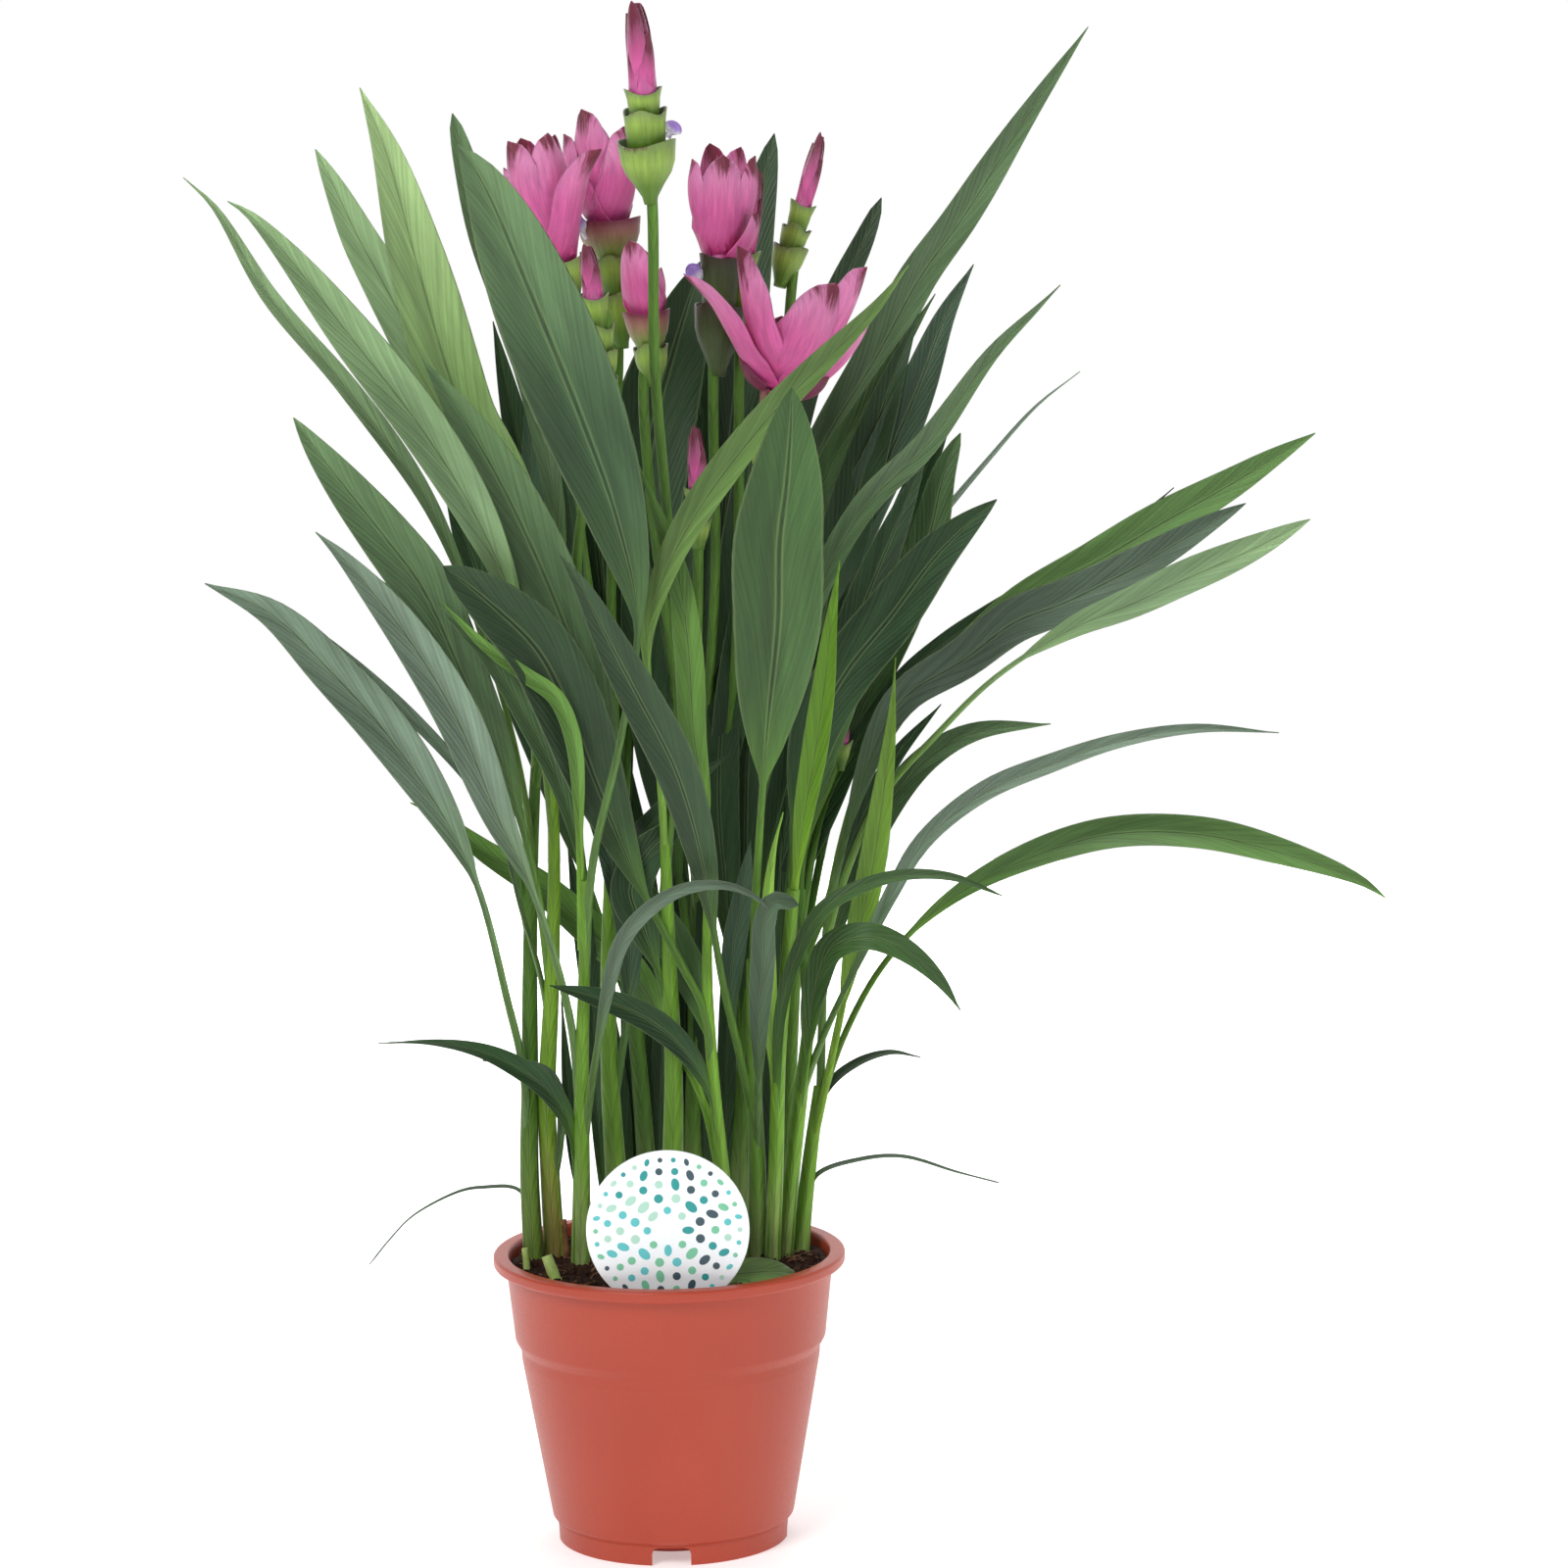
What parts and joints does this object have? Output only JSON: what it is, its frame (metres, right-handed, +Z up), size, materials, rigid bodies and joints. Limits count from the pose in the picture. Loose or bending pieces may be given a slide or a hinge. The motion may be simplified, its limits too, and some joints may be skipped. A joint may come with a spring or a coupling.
{
  "type": "potted plant",
  "caption": "Potted ginger-family plant with long narrow upright leaves and tulip-shaped pink bract heads, in a round terracotta-coloured plastic grow pot with a blank round tag.",
  "frame": {"origin": "middle of the pot's foot, on the surface that the pot stands on; the pot's axis is the Z axis", "axes": "+Z up along the pot's axis; +X to the right as seen from the front, where the tag is; +Y to the back"},
  "size_m": [0.5056, 0.3017, 0.6524],
  "materials": {
    "pot": "satin",
    "soil": "matte",
    "tag": "satin",
    "leaf": "satin",
    "pink_bract": "satin",
    "violet": "satin",
    "stub": "satin",
    "dry": "matte"
  },
  "bodies": {
    "root": {"pot": "pot", "soil": "soil", "tag": "tag", "shoot_far_left": "leaf", "shoot_left": "leaf", "shoot_front_left": "leaf", "shoot_middle_left": "leaf", "shoot_back_left": "leaf", "shoot_middle": "leaf", "shoot_middle_right": "leaf", "shoot_front_right": "leaf", "shoot_inner_right": "leaf", "shoot_outer_right": "leaf", "shoot_far_right": "leaf", "shoot_back_right": "leaf", "shoot_back_middle": "leaf", "shoot_back": "leaf", "flower_left_bud": "pink_bract", "flower_left": "pink_bract", "flower_left_back": "pink_bract", "flower_tall_bud": "pink_bract", "flower_middle_small": "pink_bract", "flower_middle": "pink_bract", "flower_middle_bud": "pink_bract", "flower_right_bud": "pink_bract", "flower_open": "pink_bract", "flower_low_bud": "pink_bract", "flower_inner_bud": "pink_bract", "true_flower_left": "violet", "true_flower_middle": "violet", "true_flower_tall": "violet", "stub_front": "stub", "stub_side": "stub", "dry_sheath": "dry", "loose_leaf": "leaf"}
  },
  "joints": []
}
